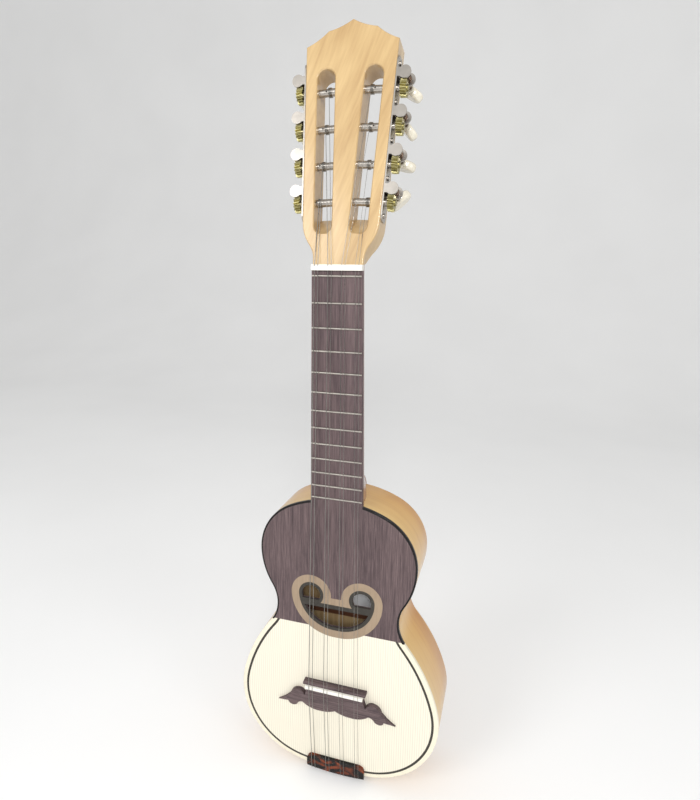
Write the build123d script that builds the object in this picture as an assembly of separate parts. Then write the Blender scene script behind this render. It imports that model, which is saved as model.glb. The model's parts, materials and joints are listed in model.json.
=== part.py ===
from build123d import *
from math import asin, atan2, cos, degrees, hypot, pi, radians, sin, sqrt, tan
import os

# A small eight-string, four-course instrument with a figure-eight body, a two-eyed
# sound hole and a slotted head with four worm-gear tuners on each side.
#
# All sizes are in millimetres.  Every piece is drawn as the instrument lies on its back:
# X to the right, Y from the tail towards the head, Z out of the soundboard.  The zero fret
# is on Y = 0 and the faces of the soundboard and fingerboard are on Z = 0.
# stand_up() then turns each piece upright, with the head at the top and the face to -Y.

# ---- strings and frets ----
SCALE = 335.0               # zero fret to the string length's end
COMPENSATION = 3.0          # how far the saddle stands beyond the scale length
FRETS = 12
NUT_COURSE_X = (-14.85, -4.95, 4.95, 14.85)
SADDLE_COURSE_X = (-19.7, -6.6, 6.6, 19.7)
NUT_PAIR_GAP = 2.5          # between the two strings of a course
SADDLE_PAIR_GAP = 3.0
STRING_RADII = (0.27, 0.23, 0.22, 0.18, 0.16, 0.14, 0.13, 0.13)
TOUCH_GAP = 0.02            # a string rests this far off what carries it
BEND_FULLNESS = 0.01        # a string is this much fuller where it bends

# ---- body outline, from the top round the upper bout, waist and lower bout to the tail ----
BODY_FROM_LAST_FRET = 1.5
TOP_RADIUS = 91.75
SHOULDER_RADIUS = 45.0
FLANK_RADIUS = 62.9
UPPER_BOUT_WIDTH = 129.9
WAIST_RADIUS = 30.75
WAIST_WIDTH = 103.4
SWEEP_RADIUS = 148.3
LOWER_BOUT_WIDTH = 174.1
LOWER_BOUT_DROP = 187.3     # from the body's top to its widest line
HIP_RADIUS = 66.0
TAIL_RADIUS = 206.4
DEPTH_AT_TOP = 44.0         # from the soundboard's face to the back's outer face
DEPTH_AT_TAIL = 60.0

# ---- body shell ----
BOARD_THICKNESS = 2.5
BACK_THICKNESS = 2.5
SIDE_THICKNESS = 2.2
BINDING_WIDTH = 3.8         # the pale binding of the lower board
DARK_BINDING_WIDTH = 1.5
BINDING_ROUND = 0.6
BACK_ROUND = 1.5
PURFLING_WIDTH = 2.0
INLAY_DEPTH = 1.2
SEAM_DROP = 113.6           # from the body's top to where dark upper board meets pale lower one
BINDING_JOINT_DROP = 1.0    # the dark binding runs this far past the seam
LINING_WIDTH = 5.0
LINING_HEIGHT = 9.0
NECK_BLOCK = (58.0, 34.0)   # width, length
TAIL_BLOCK = (66.0, 14.0)
TOP_BRACES = ((59.0, 6.0, 11.0), (130.0, 6.0, 10.0))        # drop, width, height
BACK_BRACES = ((45.0, 9.0, 12.0), (126.0, 5.0, 9.0), (209.0, 9.0, 12.0))
FAN_STRUT = (3.5, 5.0, 78.0)    # width, height, length
FAN_SPREAD = 26.0
LABEL = (62.0, 30.0, 0.25)
LABEL_DROP = 107.5          # from the body's top to the label's middle

# ---- sound hole: two round eyes over a wide bowl ----
HOLE_DROP = 84.4            # from the body's top to the line of the eyes
EYE_OFFSET = 21.4
EYE_RADIUS = 17.1
BOWL_SPREAD = 4.2           # the bowl is two round ends this far apart
RING_WIDTH = 6.5
EDGING_WIDTH = 2.8
NOTCH_DROP = 0.8            # the ring's notch between the eyes, below their line
EYE_FLOOR_DROP = 4.4        # the eyes' flat floors
BAR_TOP_DROP = 6.8          # the bar over the mouth
BAR_BOTTOM_DROP = 10.5

# ---- neck and fingerboard ----
FINGERBOARD_THICKNESS = 3.0
NUT_WIDTH = 37.1
JOINT_WIDTH = 41.7
NUT_FRONT_Y = 3.8
NUT_LENGTH = 4.0
NUT_TOP = 1.9
NECK_DEPTH_NUT = 16.0       # below the fingerboard
NECK_DEPTH_JOINT = 19.0
HEEL_SECTIONS = ((-8.0, 19.5, 34.0), (-24.0, 17.5, 31.0), (-34.0, 14.0, 21.0))
HEEL_FOOT = (12.5, 15.0)    # half width and length where the heel meets the back
HEEL_SINK = 2.0             # the heel's sections are centred this far inside the body
FRET_CROWN = (1.5, 0.9)     # width, height
FRET_TANG = (0.6, 1.5)      # width, depth
FRET_END_INSET = 0.4

# ---- head, in its own plane: x across, u up the head, h out of its face ----
HEAD_TILT = 11.8
HEAD_DROP = 1.2             # the head's face starts this far below the fingerboard's
HEAD_THICKNESS = 19.0
HEAD_ROUND = 1.0            # round of the head's long edges
THROAT_STRAIGHT = 3.0
FLARE_IN_RADIUS = 18.0
FLARE_OUT_RADIUS = 27.0
FLARE_TURN = 38.0
SIDE_SPLAY = 2.4
CREST_POINTS = ((33.1, 150.9), (17.4, 160.5), (0.0, 167.0))
CREST_SAG = 0.9
SLOT_WIDTH = 13.2
SLOT_CHAMFER = 0.7
SLOT_INSET = 15.0           # from the head's side face to the slot's middle
SLOT_BOTTOM_U = 20.5
SLOT_TOP_U = 134.2
SLOT_RAMP_ANGLE = 52.0
STRING_GROOVE_GAP = 0.35

# ---- tuners, in the side frame: x out of the head's side face, y up it, z out of the face ----
TUNERS_PER_SIDE = 4
TUNER_FIRST_U = 43.8
TUNER_PITCH = 25.6
TUNER_DEPTH = 6.2           # from the head's face to the roller's axis
PLATE_THICKNESS = 1.0
PLATE_HEIGHT = 11.6
PLATE_END = 4.2             # from the end screws' middles to the plate's ends
SCREW_OFFSET = 16.3         # from a roller's axis up to the plate screw
EAR_CLEAR = 0.2             # between an ear and the gear's teeth
EAR_THICKNESS = 1.2
EAR_NECK = 2.9              # half the width of an ear where it leaves the plate
FRONT_EAR_REACH = 0.6       # from the worm's axis out to the front ear's middle
REAR_EAR_REACH = 1.8        # the same for the rear ear
WORM_X = 5.4                # from the head's side face to the worm's axis
GEAR_TEETH = 14
GEAR_PITCH_RADIUS = 5.2
GEAR_ADDENDUM = 0.7
GEAR_DEDENDUM = 0.8
GEAR_WIDTH = 4.4
GEAR_FLANK = 20.0
GEAR_BACKLASH = 0.3
WORM_PITCH_RADIUS = 3.0
WORM_ADDENDUM = 0.65
WORM_DEDENDUM = 0.85
WORM_FLANK = 25.0
WORM_BACKLASH = 0.2
JOURNAL_RADIUS = 1.7
RUNNING_GAP = 0.07
END_GAP = 0.3
BLIND_EAR_SKIN = 0.4
COLLAR = (2.9, 3.4)         # radius, length
ROLLER_RADIUS = 2.65
ROLLER_SEAT = 5.0           # how far the roller runs into the head's middle web
SPINDLE_RADIUS = 1.6
STRING_HOLE_RADIUS = 0.6
GEAR_SCREW = (2.2, 1.0, 0.8, 3.5)       # head radius, head height, shank radius, shank length
PLATE_SCREW = (1.7, 0.9, 0.8, 7.0)
BUTTON_LENGTH = 19.0
BUTTON_DEPTH = 12.0
BUTTON_THICKNESS = 6.5
BUTTON_ROUND = 2.4
BUTTON_CLEAR = 4.0          # from the head's back to the button
BUTTON_BORE = 7.0
BUTTON_FERRULE = (2.7, 1.2)
BUTTON_ANGLES = (44.0, 166.0, 134.0, 148.0)      # from the lowest tuner up
WINDING_THICKNESS = 0.45
WINDING_LENGTH = 2.4
WINDING_GAP = 0.2
STRING_INSETS = (11.3, 13.2, 14.8, 16.6)        # from the head's side face to each winding

# ---- bridge and tail ----
SADDLE_THICKNESS = 3.0
SADDLE_TOP = 8.0
SADDLE_WIDTH = 50.0
SADDLE_ROUND = 0.4
SADDLE_LIFT = 0.1           # strings leave the saddle's middle this far up, to clear its back
FRONT_BAR = (54.4, 2.2, 6.0)        # width, thickness, height
BRIDGE_HALF_WIDTH = 24.0
BRIDGE_HEIGHT = 5.4
BRIDGE_SHOULDER = (26.6, 11.0)      # points of the bridge's plan: across, and behind the saddle
BRIDGE_CORNER = (29.2, 19.4)
BRIDGE_LOBE = (13.0, 25.2)
BRIDGE_CUSP = (0.0, 21.6)
LEAF_TOP = (33.6, 7.2)
LEAF_BACK = (40.2, 13.8)
LEAF_TIP = (52.1, 23.6)
LEAF_NOTCH = (42.4, 21.6)
LEAF_LOBE = (38.6, 25.4)
LEAF_HEEL = (33.4, 21.4)
LEAF_HEIGHT = 4.2
LEAF_TIP_HEIGHT = 1.6
GUARD_WIDTH = 52.0
GUARD_REACH = 12.5          # how far the guard runs in over the soundboard
GUARD_HEIGHT = 2.2
GUARD_SKIN = 1.2
GUARD_DROP = 14.0
GUARD_CORNER = 5.0
PIN_Z = -19.0
PIN_RADIUS = 0.9
PIN_DEPTH = 11.0
PIN_HEAD = (1.8, 0.9)       # radius, thickness
PIN_REACH = 1.4             # from the string to the pin's head

FAR = 300.0                 # longer than any piece


# ---------------------------------------------------------------- helpers

def stand_up(shape):
    return Rot(90, 0, 0) * shape


def write(name, *solids):
    """Write one node's separate solids to parts/."""
    pieces = []
    for shape in solids:
        pieces.extend(stand_up(shape).solids())
    node = pieces[0] if len(pieces) == 1 else Compound(children=pieces)
    export_step(node, f"parts/{name}.step")


def fret_y(number):
    return -SCALE * (1 - 2 ** (-number / 12))


def mirrored(shape):
    return mirror(shape, about=Plane.YZ)


def both_sides(shape):
    return [shape, mirrored(shape)]


def polar(radius, angle):
    return (radius * cos(radians(angle)), radius * sin(radians(angle)))


def area(x_low, x_high, y_low, y_high):
    middle = ((x_low + x_high) / 2, (y_low + y_high) / 2)
    return Pos(*middle) * Rectangle(x_high - x_low, y_high - y_low)


def block(x, y, z):
    """A box from three (low, high) pairs."""
    size = [high - low for low, high in (x, y, z)]
    middle = [(high + low) / 2 for low, high in (x, y, z)]
    return Pos(*middle) * Box(*size)


def rod(start, end, radius):
    start, end = Vector(*start), Vector(*end)
    run = end - start
    return Plane(origin=start, z_dir=run) * extrude(Circle(radius), amount=run.length)


def prism(face, z_low, z_high):
    return Pos(0, 0, z_low) * extrude(face, amount=z_high - z_low, dir=(0, 0, 1))


# ---------------------------------------------------------------- body outline

BODY_TOP = fret_y(FRETS) - BODY_FROM_LAST_FRET
SEAM_Y = BODY_TOP - SEAM_DROP
HOLE_Y = BODY_TOP - HOLE_DROP
BOWL_RADIUS = EYE_OFFSET + EYE_RADIUS - BOWL_SPREAD / 2


def step(centre, distance, heading):
    """Move from a centre along a heading, where 0 is up the body and 90 to the right."""
    return (centre[0] + distance * sin(radians(heading)),
            centre[1] + distance * cos(radians(heading)))


def heading_between(start, end):
    return degrees(atan2(end[0] - start[0], end[1] - start[1]))


def circles_meet(a, radius_a, b, radius_b):
    """The left-hand point at the two given distances from a and b."""
    gap = hypot(b[0] - a[0], b[1] - a[1])
    along = (radius_a ** 2 - radius_b ** 2 + gap ** 2) / (2 * gap)
    off = sqrt(radius_a ** 2 - along ** 2)
    way = ((b[0] - a[0]) / gap, (b[1] - a[1]) / gap)
    foot = (a[0] + way[0] * along, a[1] + way[1] * along)
    return (foot[0] + way[1] * off, foot[1] - way[0] * off)


def outline_arcs():
    """Tangent arcs of the right half: centre, radius, first and last heading."""
    shoulder_x = UPPER_BOUT_WIDTH / 2 - SHOULDER_RADIUS
    top_end = degrees(asin(shoulder_x / (TOP_RADIUS - SHOULDER_RADIUS)))
    top = (0, BODY_TOP - TOP_RADIUS)
    shoulder = step(top, TOP_RADIUS - SHOULDER_RADIUS, top_end)
    flank = (UPPER_BOUT_WIDTH / 2 - FLANK_RADIUS, shoulder[1])
    waist_x = WAIST_WIDTH / 2 + WAIST_RADIUS
    reach = FLANK_RADIUS + WAIST_RADIUS
    flank_end = 180 - degrees(asin((waist_x - flank[0]) / reach))
    waist = step(flank, reach, flank_end)
    hip = (LOWER_BOUT_WIDTH / 2 - HIP_RADIUS, BODY_TOP - LOWER_BOUT_DROP)
    sweep = circles_meet(waist, WAIST_RADIUS + SWEEP_RADIUS, hip, SWEEP_RADIUS - HIP_RADIUS)
    waist_end = heading_between(sweep, waist)
    sweep_end = heading_between(sweep, hip)
    hip_end = 180 - degrees(asin(hip[0] / (TAIL_RADIUS - HIP_RADIUS)))
    tail = (0, step(hip, HIP_RADIUS - TAIL_RADIUS, hip_end)[1])
    return [(top, TOP_RADIUS, 0, top_end),
            (shoulder, SHOULDER_RADIUS, top_end, 90),
            (flank, FLANK_RADIUS, 90, flank_end),
            (waist, -WAIST_RADIUS, flank_end, waist_end),
            (sweep, SWEEP_RADIUS, waist_end, sweep_end),
            (hip, HIP_RADIUS, sweep_end, hip_end),
            (tail, TAIL_RADIUS, hip_end, 180)]


def outline(inset=0.0):
    """The body's plan, drawn in by inset all round.  A hollow arc has a negative radius."""
    edges = []
    for centre, radius, first, last in outline_arcs():
        size = abs(radius - inset)
        start = 90 - first if radius > 0 else 270 - first
        edges.append(CenterArc(centre, size, start, first - last))
    return make_face(edges + [mirror(edge, about=Plane.YZ) for edge in edges])


TAIL_CENTRE_Y = outline_arcs()[-1][0][1]
BODY_TAIL = TAIL_CENTRE_Y - TAIL_RADIUS


def tail_y(x):
    """The tail's outer face at a distance from the centre line."""
    return TAIL_CENTRE_Y - sqrt(TAIL_RADIUS ** 2 - x ** 2)


def back_z(y, lift=0.0):
    run = (BODY_TOP - y) / (BODY_TOP - BODY_TAIL)
    return lift - DEPTH_AT_TOP - (DEPTH_AT_TAIL - DEPTH_AT_TOP) * run


def down_to_back(face, top, lift=0.0):
    """A plan face taken down from a level to the sloping back, or lift above it."""
    ends = (BODY_TOP + FAR, BODY_TAIL - FAR)
    side = [(ends[0], top), (ends[1], top), (ends[1], back_z(ends[1], lift)),
            (ends[0], back_z(ends[0], lift))]
    wedge = extrude(make_face(Plane.YZ * Polyline(*side, close=True)), amount=FAR, both=True)
    return prism(face, -FAR, top) & wedge


def on_back(face, low, high):
    """A plan face as a slab between two heights above the back's outer face."""
    return down_to_back(face, 0, low) - down_to_back(face, 0, high)


# ---------------------------------------------------------------- sound hole

def bowl(inset):
    return Pos(0, HOLE_Y) * SlotCenterToCenter(BOWL_SPREAD, 2 * (BOWL_RADIUS - inset))


def eyes(inset):
    eye = Circle(EYE_RADIUS - inset)
    return Pos(EYE_OFFSET, HOLE_Y) * eye + Pos(-EYE_OFFSET, HOLE_Y) * eye


def below(y):
    return area(-FAR, FAR, y - FAR, y)


def outside_eyes():
    right = area(EYE_OFFSET, FAR, HOLE_Y - FAR, HOLE_Y)
    return right + mirror(right, about=Plane.YZ)


def hole_region(inset, floor_y):
    """The hole's plan drawn in by inset; between the eyes it starts at floor_y."""
    around = bowl(inset) & (below(floor_y) + outside_eyes())
    return eyes(inset) + around


def ring_outer():
    return hole_region(0, HOLE_Y - NOTCH_DROP)


def edging_outer():
    return hole_region(RING_WIDTH, HOLE_Y - BAR_TOP_DROP)


def openings():
    inset = RING_WIDTH + EDGING_WIDTH
    eye_holes = (eyes(inset) + (bowl(inset) & outside_eyes())) - below(HOLE_Y - EYE_FLOOR_DROP)
    mouth = bowl(inset) & below(HOLE_Y - BAR_BOTTOM_DROP)
    return eye_holes + mouth


# ---------------------------------------------------------------- body

def fingerboard_width(y):
    nut_y = NUT_FRONT_Y + NUT_LENGTH
    return NUT_WIDTH + (JOINT_WIDTH - NUT_WIDTH) * (nut_y - y) / (nut_y - fret_y(FRETS))


def fingerboard_plan(y_low, y_high):
    low, high = fingerboard_width(y_low) / 2, fingerboard_width(y_high) / 2
    return make_face(Polyline((-low, y_low), (low, y_low), (high, y_high), (-high, y_high),
                              close=True))


def dark_side():
    """The part of the plan that the dark binding goes round."""
    return area(-FAR, FAR, SEAM_Y - BINDING_JOINT_DROP, FAR)


def tongue():
    """The strip of the upper board that runs up to meet the fingerboard."""
    return outline() & fingerboard_plan(BODY_TOP - 2 * BINDING_WIDTH, NUT_FRONT_Y)


def dark_ring():
    return (outline() - outline(DARK_BINDING_WIDTH) - tongue()) & dark_side()


def pale_ring():
    return ((outline() - outline(BINDING_WIDTH)) & below(SEAM_Y)) - dark_ring()


def make_boards():
    plan = outline() - dark_ring() - pale_ring() - openings()
    inlay = prism(ring_outer(), -INLAY_DEPTH, 0)
    purfling = prism(purfling_plan(), -INLAY_DEPTH, 0)
    whole = prism(plan, -BOARD_THICKNESS, 0) - inlay
    upper = whole & block((-FAR, FAR), (SEAM_Y, FAR), (-FAR, FAR))
    lower = whole & block((-FAR, FAR), (-2 * FAR, SEAM_Y), (-FAR, FAR))
    write("upper_soundboard", upper)
    write("lower_soundboard", lower - purfling)
    write("purfling", purfling)
    write("sound_hole_ring", prism(ring_outer() - edging_outer(), -INLAY_DEPTH, 0))
    write("sound_hole_edging", prism(edging_outer() - openings(), -INLAY_DEPTH, 0))


def purfling_plan():
    ring = outline(BINDING_WIDTH) - outline(BINDING_WIDTH + PURFLING_WIDTH)
    return (ring & below(SEAM_Y)) - ring_outer()


def rounded_rim(plate, outwards, radius):
    """Round the rim of a plate's face that looks outwards, up (1) or down (-1)."""
    outer = plate.faces().sort_by(lambda face: outwards * face.normal_at().Z)[-1]
    return fillet(outer.edges(), radius)


def make_bindings():
    rounded = rounded_rim(prism(outline(), -BOARD_THICKNESS, 0), 1, BINDING_ROUND)
    write("upper_binding", rounded & prism(dark_ring(), -BOARD_THICKNESS, 0))
    write("lower_binding", rounded & prism(pale_ring(), -BOARD_THICKNESS, 0))


def make_sides():
    wall = outline() - outline(SIDE_THICKNESS)
    shell = down_to_back(wall, -BOARD_THICKNESS, BACK_THICKNESS) - pin_holes()
    right = block((0, FAR), (-2 * FAR, FAR), (-FAR, FAR))
    write("side_right", shell & right)
    write("side_left", shell - right)
    back = on_back(outline(), 0, BACK_THICKNESS)
    write("back_plate", rounded_rim(back, -1, BACK_ROUND))


def block_plans():
    inside = outline(SIDE_THICKNESS)
    neck_width, neck_length = NECK_BLOCK
    tail_width, tail_length = TAIL_BLOCK
    neck = inside & area(-neck_width / 2, neck_width / 2, BODY_TOP - neck_length, BODY_TOP)
    tail = inside & area(-tail_width / 2, tail_width / 2, BODY_TAIL, BODY_TAIL + tail_length)
    return neck, tail


def make_inside():
    neck, tail = block_plans()
    write("neck_block", down_to_back(neck, -BOARD_THICKNESS, BACK_THICKNESS))
    write("tail_block", down_to_back(tail, -BOARD_THICKNESS, BACK_THICKNESS) - pin_holes())
    strip = outline(SIDE_THICKNESS) - outline(SIDE_THICKNESS + LINING_WIDTH) - neck - tail
    front = prism(strip, -BOARD_THICKNESS - LINING_HEIGHT, -BOARD_THICKNESS)
    back = on_back(strip, BACK_THICKNESS, BACK_THICKNESS + LINING_HEIGHT)
    write("linings", front, back)
    write("braces", *braces())
    width, length, thickness = LABEL
    middle = BODY_TOP - LABEL_DROP
    plan = area(-width / 2, width / 2, middle - length / 2, middle + length / 2)
    write("label", on_back(plan, BACK_THICKNESS, BACK_THICKNESS + thickness))


def braces():
    """Bars across the board and the back, and three fan struts under the lower board."""
    inside = outline(SIDE_THICKNESS + LINING_WIDTH)
    bars = []
    for drop, width, height in TOP_BRACES:
        y = BODY_TOP - drop
        bar = inside & area(-FAR, FAR, y - width / 2, y + width / 2)
        bars.append(prism(bar, -BOARD_THICKNESS - height, -BOARD_THICKNESS))
    for drop, width, height in BACK_BRACES:
        y = BODY_TOP - drop
        bar = inside & area(-FAR, FAR, y - width / 2, y + width / 2)
        bars.append(on_back(bar, BACK_THICKNESS, BACK_THICKNESS + height))
    width, height, length = FAN_STRUT
    start_y = BODY_TOP - TOP_BRACES[-1][0] - TOP_BRACES[-1][1]
    for side in (-1, 0, 1):
        turn = Pos(side * FAN_SPREAD / 2, start_y) * Rot(0, 0, side * 12)
        strut = Pos(0, -length / 2, -BOARD_THICKNESS - height / 2) * Box(width, length, height)
        bars.append(turn * strut)
    return bars


# ---------------------------------------------------------------- neck

def half_ellipse(y, half_width, depth):
    """A neck section: flat on top, round below."""
    plane = Plane(origin=(0, y, -FINGERBOARD_THICKNESS), x_dir=(1, 0, 0), z_dir=(0, 1, 0))
    curve = EllipticalCenterArc((0, 0), half_width, depth, start_angle=0, arc_size=180)
    return make_face(plane * (curve + Line(curve @ 1, curve @ 0)))


def make_neck():
    nut_y = NUT_FRONT_Y + NUT_LENGTH
    inner_y = BODY_TOP - 10
    slope = (NECK_DEPTH_JOINT - NECK_DEPTH_NUT) / (nut_y - BODY_TOP)
    depth = NECK_DEPTH_NUT + slope * (nut_y - inner_y)
    shaft = loft([half_ellipse(nut_y, fingerboard_width(nut_y) / 2, NECK_DEPTH_NUT),
                  half_ellipse(inner_y, fingerboard_width(inner_y) / 2, depth)])
    sections = HEEL_SECTIONS + ((-DEPTH_AT_TOP,) + HEEL_FOOT,)
    faces = [Pos(0, BODY_TOP - HEEL_SINK, z) * Ellipse(width, length)
             for z, width, length in sections]
    heel = loft(faces)
    body = prism(outline(), -FAR, FAR)
    write("neck", (shaft + heel) - body)


def make_fingerboard():
    nut_y = NUT_FRONT_Y
    plan = fingerboard_plan(BODY_TOP - 2 * BINDING_WIDTH, nut_y) - outline()
    board = prism(plan, -FINGERBOARD_THICKNESS, 0)
    frets = [fret(number) for number in range(FRETS + 1)]
    for number in range(FRETS + 1):
        board -= fret_slot(number)
    write("fingerboard", board)
    write("frets", *frets)


def fret_half_length(number):
    return fingerboard_width(fret_y(number)) / 2 - FRET_END_INSET


def fret_slot(number):
    half, y = fret_half_length(number), fret_y(number)
    width, depth = FRET_TANG
    return block((-half, half), (y - width / 2, y + width / 2), (-depth, 0))


def fret(number):
    """One fret wire: a domed crown on a tang let into the fingerboard."""
    half, y = fret_half_length(number), fret_y(number)
    width, height = FRET_CROWN
    plane = Plane(origin=(-half, y, 0), x_dir=(0, 1, 0), z_dir=(1, 0, 0))
    dome = EllipticalCenterArc((0, 0), width / 2, height, start_angle=0, arc_size=180)
    crown = extrude(make_face(plane * (dome + Line(dome @ 1, dome @ 0))), amount=2 * half)
    return crown + fret_slot(number)


# ---------------------------------------------------------------- head

HEAD_ROOT_Y = NUT_FRONT_Y + NUT_LENGTH
TILT = radians(HEAD_TILT)
HEAD = Plane(origin=(0, HEAD_ROOT_Y, -HEAD_DROP), x_dir=(1, 0, 0), z_dir=(0, sin(TILT), cos(TILT)))


def head_side():
    """The right flare: its end point, where the straight side begins."""
    out_turn = FLARE_TURN - SIDE_SPLAY
    x = NUT_WIDTH / 2 + FLARE_IN_RADIUS * (1 - cos(radians(FLARE_TURN)))
    x += FLARE_OUT_RADIUS * (cos(radians(SIDE_SPLAY)) - cos(radians(FLARE_TURN)))
    u = THROAT_STRAIGHT + FLARE_IN_RADIUS * sin(radians(FLARE_TURN))
    u += FLARE_OUT_RADIUS * (sin(radians(FLARE_TURN)) - sin(radians(SIDE_SPLAY)))
    return (x, u), out_turn


def side_face_x(u):
    (x, start_u), _ = head_side()
    return x + (u - start_u) * tan(radians(SIDE_SPLAY))


def head_plan():
    (side_x, side_u), out_turn = head_side()
    corner, shoulder, tip = CREST_POINTS
    corner = (side_face_x(corner[1]), corner[1])
    throat = Line((NUT_WIDTH / 2, 0), (NUT_WIDTH / 2, THROAT_STRAIGHT))
    flare_in = JernArc(throat @ 1, throat % 1, FLARE_IN_RADIUS, -FLARE_TURN)
    flare_out = JernArc(flare_in @ 1, flare_in % 1, FLARE_OUT_RADIUS, out_turn)
    side = Line(flare_out @ 1, corner)
    edges = [throat, flare_in, flare_out, side,
             SagittaArc(corner, shoulder, CREST_SAG), SagittaArc(shoulder, tip, CREST_SAG)]
    left = [mirror(edge, about=Plane.YZ) for edge in edges]
    return make_face(edges + left + [Line((NUT_WIDTH / 2, 0), (-NUT_WIDTH / 2, 0))])


SIDE_FRAME = Pos(side_face_x(TUNER_FIRST_U), TUNER_FIRST_U, 0) * Rot(0, 0, -SIDE_SPLAY)


def slot_plan(bottom_u, top_u):
    """One slot, drawn in the side frame, parallel to the head's side."""
    low = (bottom_u - TUNER_FIRST_U) / cos(radians(SIDE_SPLAY))
    high = (top_u - TUNER_FIRST_U) / cos(radians(SIDE_SPLAY))
    middle = Pos(-SLOT_INSET, (low + high) / 2) * Rot(0, 0, 90)
    return middle * SlotOverall(high - low, SLOT_WIDTH)


def slots():
    """A through slot whose lower end is a ramp down from the head's face."""
    plan = slot_plan(SLOT_BOTTOM_U, SLOT_TOP_U)
    whole = prism(plan, -HEAD_THICKNESS - 1, 1)
    flare = extrude(plan, amount=SLOT_CHAMFER + 0.2, dir=(0, 0, 1), taper=-45)
    whole += Pos(0, 0, -SLOT_CHAMFER) * flare
    whole += Pos(0, 0, SLOT_CHAMFER - HEAD_THICKNESS) * mirror(flare, about=Plane.XY)
    low = SLOT_BOTTOM_U - TUNER_FIRST_U
    rise = tan(radians(SLOT_RAMP_ANGLE))
    wedge = [(low - FAR, FAR), (low - FAR, FAR * rise), (low, 0),
             (low + FAR, -FAR * rise), (low + FAR, FAR)]
    side = extrude(make_face(Plane.YZ * Polyline(*wedge, close=True)), amount=FAR, both=True)
    return both_sides(SIDE_FRAME * (whole & side))


def make_head():
    slab = prism(head_plan(), -HEAD_THICKNESS, 0)
    rims = slab.edges().filter_by(lambda edge: abs(edge.center().Z - edge.position_at(0).Z) < 1e-6)
    slab = HEAD * fillet(rims.filter_by(lambda edge: edge.center().Y > THROAT_STRAIGHT), HEAD_ROUND)
    centre_z = -FINGERBOARD_THICKNESS
    throat = loft([section(HEAD_ROOT_Y, centre_z, NUT_WIDTH / 2 + 0.15, NECK_DEPTH_NUT),
                   section(HEAD_ROOT_Y + 40, centre_z, 70, 62)])
    beyond = block((-FAR, FAR), (HEAD_ROOT_Y + 40, FAR), (-FAR, FAR))
    head = slab & (throat + beyond)
    for cut in slots():
        head -= HEAD * cut
    for index in range(TUNERS_PER_SIDE):
        for bore in both_sides(roller_bore(index)):
            head -= HEAD * bore
    for screw in plate_screws():
        head -= screw
    for path in string_paths():
        head -= rod(path[-2], path[-1], path_radius(path) + STRING_GROOVE_GAP)
    write("headstock", head)
    make_nut()


def section(y, z, half_width, half_height):
    plane = Plane(origin=(0, y, z), x_dir=(1, 0, 0), z_dir=(0, 1, 0))
    return plane * Ellipse(half_width, half_height)


def make_nut():
    half = NUT_WIDTH / 2
    side = [(NUT_FRONT_Y, -FINGERBOARD_THICKNESS), (HEAD_ROOT_Y, -FINGERBOARD_THICKNESS),
            (HEAD_ROOT_Y, NUT_TOP - 0.6), (HEAD_ROOT_Y - 1.4, NUT_TOP), (NUT_FRONT_Y, NUT_TOP)]
    nut = extrude(make_face(Plane.YZ * Polyline(*side, close=True)), amount=half, both=True)
    for path in string_paths():
        radius = path_radius(path) + STRING_GROOVE_GAP
        for start, end in zip(path[3:], path[4:]):
            nut -= rod(start, end, radius)
        nut -= Pos(*path[4]) * Sphere(radius + BEND_FULLNESS)
    write("nut", nut)


# ---------------------------------------------------------------- tuners

CENTRE_DISTANCE = GEAR_PITCH_RADIUS + WORM_PITCH_RADIUS
GEAR_TIP_RADIUS = GEAR_PITCH_RADIUS + GEAR_ADDENDUM
GEAR_ROOT_RADIUS = GEAR_PITCH_RADIUS - GEAR_DEDENDUM
WORM_CREST_RADIUS = WORM_PITCH_RADIUS + WORM_ADDENDUM
WORM_ROOT_RADIUS = WORM_PITCH_RADIUS - WORM_DEDENDUM
WORM_PITCH = 2 * pi * GEAR_PITCH_RADIUS / GEAR_TEETH
LEAD = WORM_PITCH / (2 * pi * WORM_PITCH_RADIUS)
EAR_GAP = PLATE_HEIGHT - 2 * EAR_THICKNESS
WORM_LENGTH = EAR_GAP - 2 * END_GAP
EAR_HALF_WIDTH = (CENTRE_DISTANCE - EAR_CLEAR
                  - sqrt(max(GEAR_TIP_RADIUS ** 2 - (EAR_GAP / 2) ** 2, 0)))
ROLLER_Z = -TUNER_DEPTH
GEAR_START = WORM_X - GEAR_WIDTH / 2


def at_tuner(index):
    return SIDE_FRAME * Pos(0, index * TUNER_PITCH, ROLLER_Z)


def along_x(shape, start):
    """Turn a shape drawn up Z so that it runs outwards from x = start."""
    return Plane(origin=(start, 0, 0), x_dir=(0, 1, 0), z_dir=(1, 0, 0)) * shape


def cylinder_x(radius, start, end):
    return along_x(extrude(Circle(radius), amount=end - start), start)


def cylinder_z(radius, start, end):
    return Pos(0, 0, start) * extrude(Circle(radius), amount=end - start)


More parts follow.
